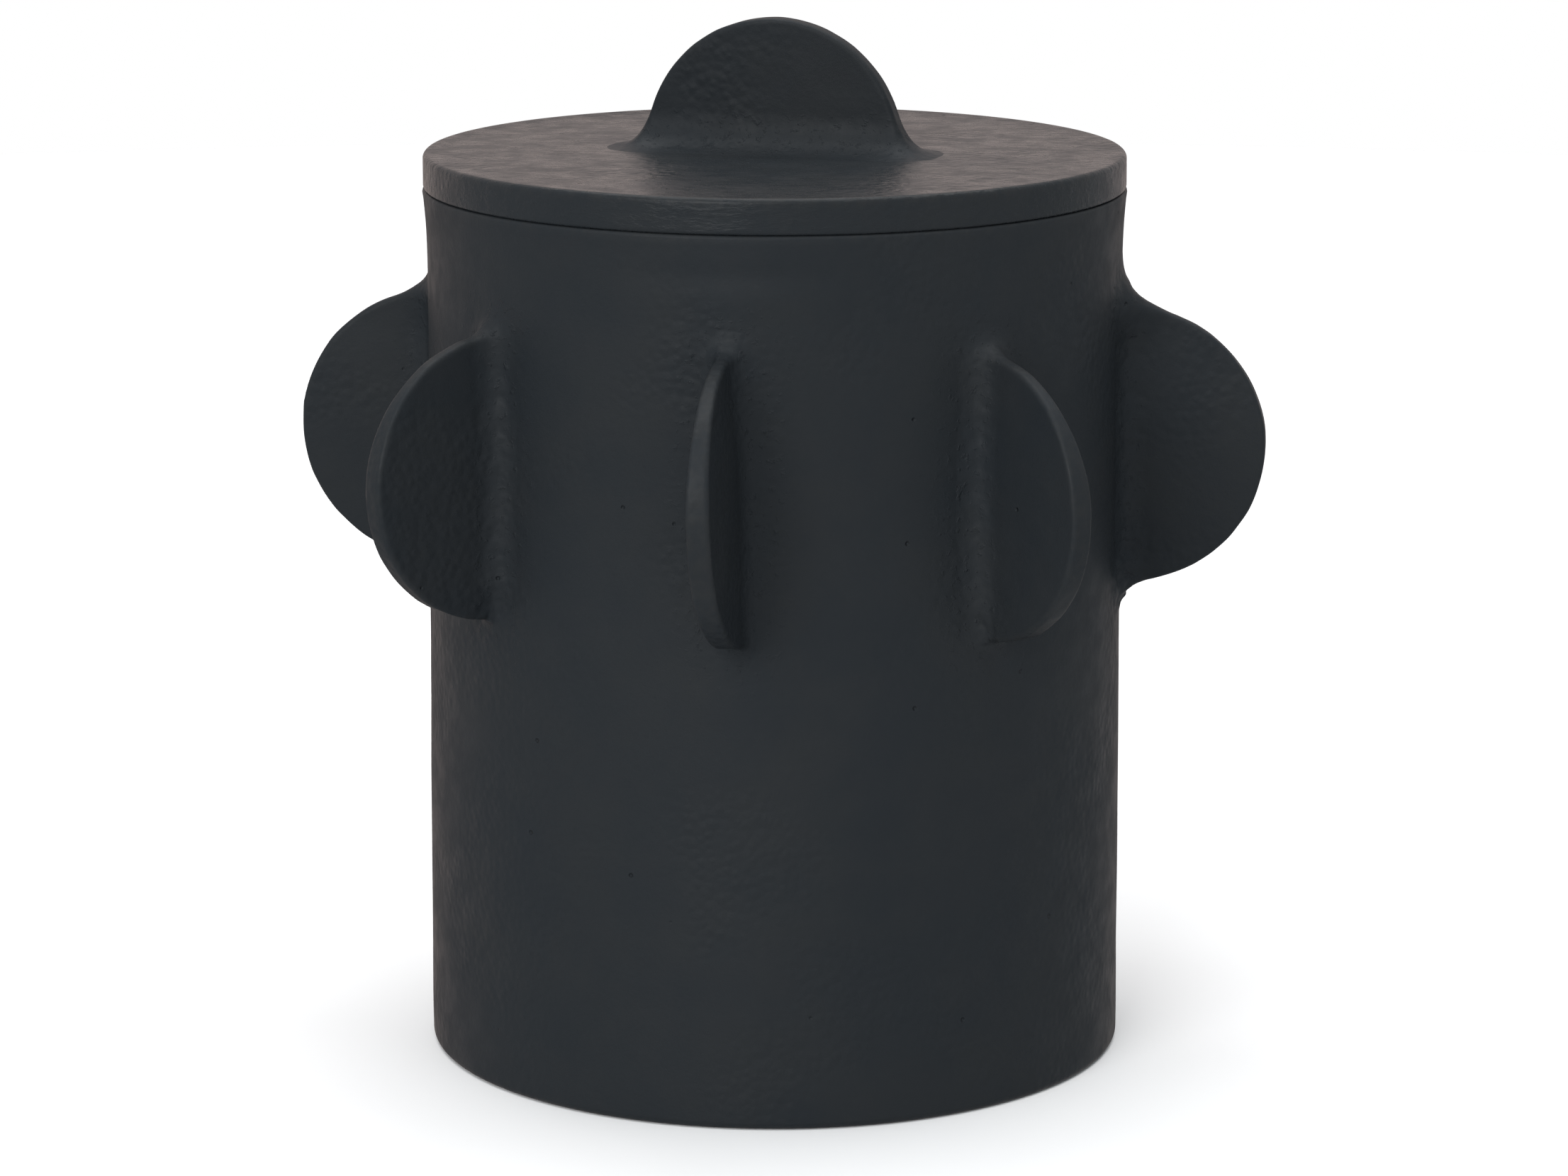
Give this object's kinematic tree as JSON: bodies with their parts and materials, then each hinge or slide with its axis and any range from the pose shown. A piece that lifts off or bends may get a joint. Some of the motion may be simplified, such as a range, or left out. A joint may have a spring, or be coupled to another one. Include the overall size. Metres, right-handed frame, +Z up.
{
  "type": "sugar bowl",
  "caption": "Straight-sided cylindrical stoneware sugar bowl in matt black, with half-disc fins standing round its upper wall and a flat lift-off lid with a half-disc handle",
  "frame": {"origin": "Centre of the foot ring, on the table and on the bowl's axis", "axes": "+Z up along the bowl's axis; -Y front, where the first fin points; +X to the right as seen from the front"},
  "size_m": [0.1272, 0.1272, 0.134],
  "materials": {
    "matt_black_stoneware": "matt black slip over coarse stoneware, dry and slightly gritty, with drag marks and pinholes"
  },
  "bodies": {
    "bowl": {"bowl_wall": "matt_black_stoneware", "bowl_floor": "matt_black_stoneware", "fin_front": "matt_black_stoneware", "fin_front_right": "matt_black_stoneware", "fin_right": "matt_black_stoneware", "fin_back_right": "matt_black_stoneware", "fin_back": "matt_black_stoneware", "fin_back_left": "matt_black_stoneware", "fin_left": "matt_black_stoneware", "fin_front_left": "matt_black_stoneware"},
    "lid": {"lid_disc": "matt_black_stoneware", "lid_flange": "matt_black_stoneware", "lid_handle": "matt_black_stoneware"}
  },
  "joints": [
    {"name": "lid_lift", "type": "slide", "parent": "bowl", "child": "lid", "axis": [0, 0, 1], "range_m": [0, 0.08]}
  ]
}
